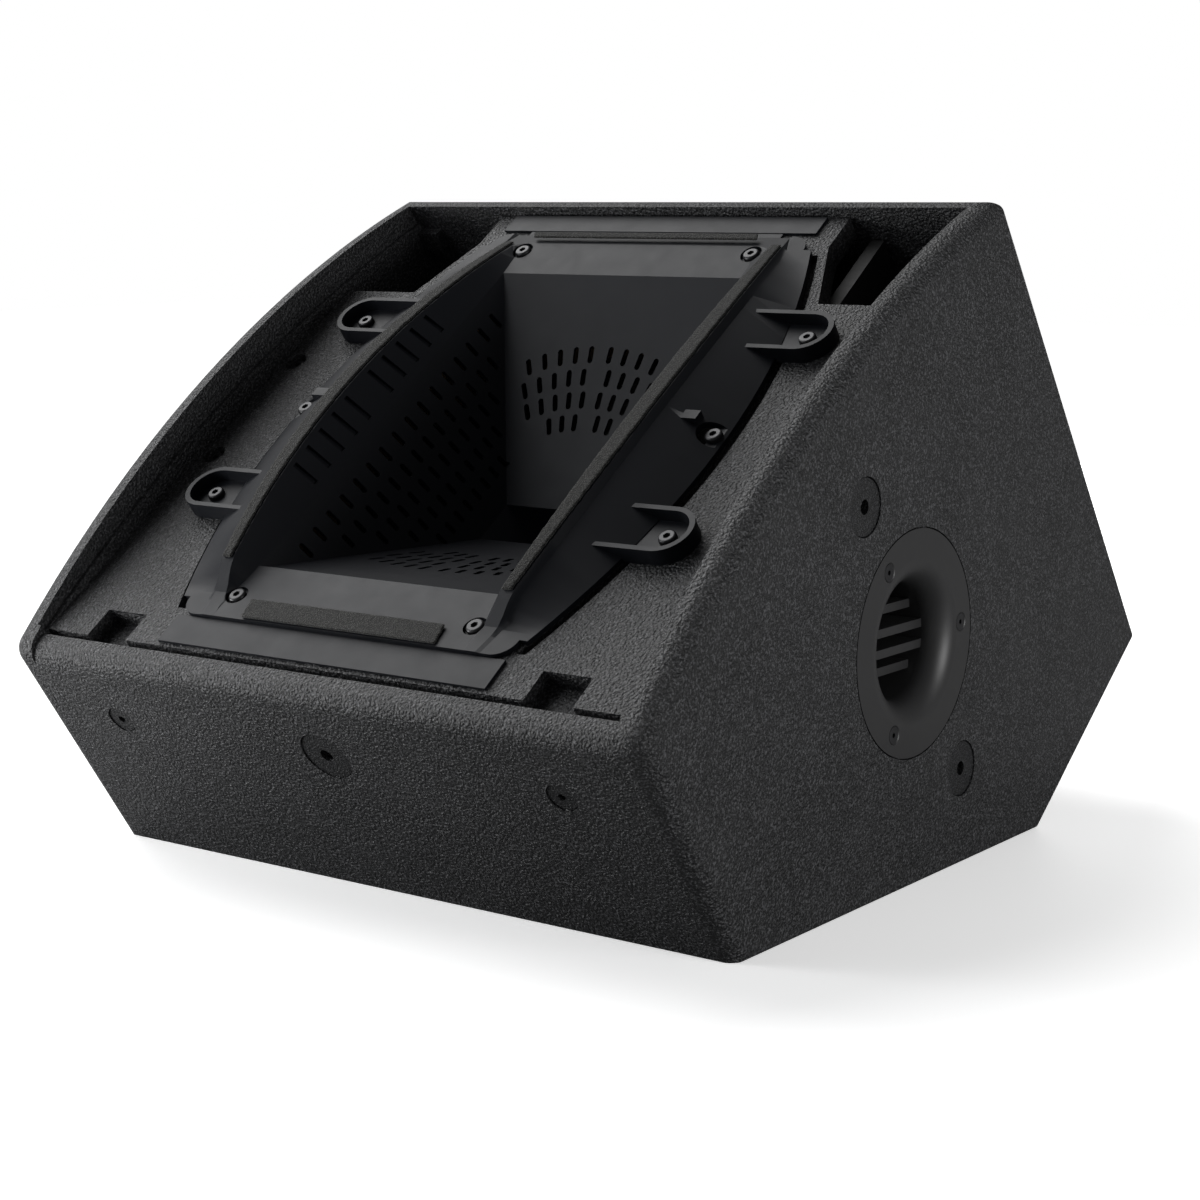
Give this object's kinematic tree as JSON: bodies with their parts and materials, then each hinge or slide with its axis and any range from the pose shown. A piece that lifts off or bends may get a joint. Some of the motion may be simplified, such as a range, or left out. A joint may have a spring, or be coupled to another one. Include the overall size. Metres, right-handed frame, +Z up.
{
  "type": "pa speaker cabinet",
  "caption": "Low wedge stage monitor loudspeaker with its grille off: sloping baffle, large slotted rectangular horn over a coaxial woofer, reflex ports and round side hand holes",
  "frame": {"origin": "centre of the part's bounding box, on the floor", "axes": "+Z up, -Y towards the listener in front of the sloping baffle, +X to the right seen from the front"},
  "size_m": [0.456, 0.5724, 0.3905],
  "materials": {
    "textured_black_paint": "plywood under fine-grained black polyurethane paint",
    "port_black": "plywood brushed matt black inside the ports",
    "raw_plywood": "bare birch plywood",
    "mdf": "bare fibreboard painted matt black on the driver side",
    "horn_plastic": "moulded ABS with a faint satin grain",
    "handle_plastic": "smooth moulded satin black",
    "foam": "open-cell foam strip, matt",
    "wadding": "white polyester wadding",
    "black_screw_steel": "black oxide",
    "zinc_steel": "bright zinc plate",
    "insert_steel": "black powder coat",
    "cast_aluminium": "raw die casting",
    "black_plate_steel": "thin black paint",
    "ferrite": "ground ceramic magnet",
    "cone_paper": "black pulp paper, doped",
    "surround_cloth": "doped black cloth roll",
    "spider_cloth": "resin-dipped cotton",
    "gasket": "black sealing sheet",
    "former_film": "amber polyimide film",
    "coil_copper": "enamelled copper winding",
    "diaphragm_metal": "thin metal dome",
    "plug_plastic": "moulded black",
    "socket_plastic": "glass-filled nylon",
    "circuit_board": "green solder mask on glass laminate",
    "copper_winding": "varnished copper wire",
    "capacitor_film": "yellow film wrap",
    "ceramic": "white cement block",
    "nylon": "natural nylon"
  },
  "bodies": {
    "cabinet": {"accessory_inserts": "insert_steel", "baffle_board": "textured_black_paint", "baffle_cleats": "raw_plywood", "baffle_screws": "black_screw_steel", "bottom_panel": "textured_black_paint", "connector_plate": "black_plate_steel", "connector_screws": "black_screw_steel", "connector_socket_left": "socket_plastic", "connector_socket_right": "socket_plastic", "cross_brace": "raw_plywood", "crossover_board": "circuit_board", "crossover_capacitors": "capacitor_film", "crossover_inductors": "copper_winding", "crossover_resistors": "ceramic", "crossover_standoffs": "nylon", "damping_pad_bottom": "wadding", "damping_pads_rear": "wadding", "foam_strip_bottom": "foam", "foam_strip_left": "foam", "foam_strip_right": "foam", "foam_strip_top": "foam", "grille_blocks": "textured_black_paint", "handle_left": "handle_plastic", "handle_right": "handle_plastic", "handle_screws": "black_screw_steel", "hf_bolts": "zinc_steel", "hf_edge_ring": "former_film", "hf_front_plate": "zinc_steel", "hf_magnet": "ferrite", "hf_phase_plug": "plug_plastic", "hf_pole": "black_plate_steel", "hf_rear_cover": "plug_plastic", "hf_top_plate": "black_plate_steel", "horn": "horn_plastic", "horn_lug_screws": "black_screw_steel", "horn_mouth_screws": "black_screw_steel", "horn_side_screws": "black_screw_steel", "kick_panel": "textured_black_paint", "port_wall_left": "port_black", "port_wall_right": "port_black", "rear_panel": "textured_black_paint", "rigging_inserts": "insert_steel", "side_panel_left": "textured_black_paint", "side_panel_right": "textured_black_paint", "throat_tube": "horn_plastic", "top_panel": "textured_black_paint", "woofer_basket": "cast_aluminium", "woofer_bolts": "zinc_steel", "woofer_carrier": "mdf", "woofer_front_plate": "black_plate_steel", "woofer_gasket": "gasket", "woofer_magnet": "ferrite", "woofer_spacer_ring": "mdf", "woofer_yoke": "black_plate_steel"},
    "cone_assembly": {"voice_coil": "coil_copper", "voice_coil_former": "former_film", "woofer_cone": "cone_paper", "woofer_spider": "spider_cloth", "woofer_surround": "surround_cloth"},
    "hf_dome": {"hf_diaphragm": "diaphragm_metal"}
  },
  "joints": [
    {"name": "cone_travel", "type": "slide", "parent": "cabinet", "child": "cone_assembly", "axis": [0, -0.5777, 0.8162], "range_m": [-0.006, 0.006], "stiffness_N_per_m": 6300, "deforming": ["woofer_surround", "woofer_spider"]},
    {"name": "hf_dome_travel", "type": "slide", "parent": "cabinet", "child": "hf_dome", "axis": [0, -0.5777, 0.8162], "range_m": [-0.0004, 0.0004], "stiffness_N_per_m": 450}
  ]
}
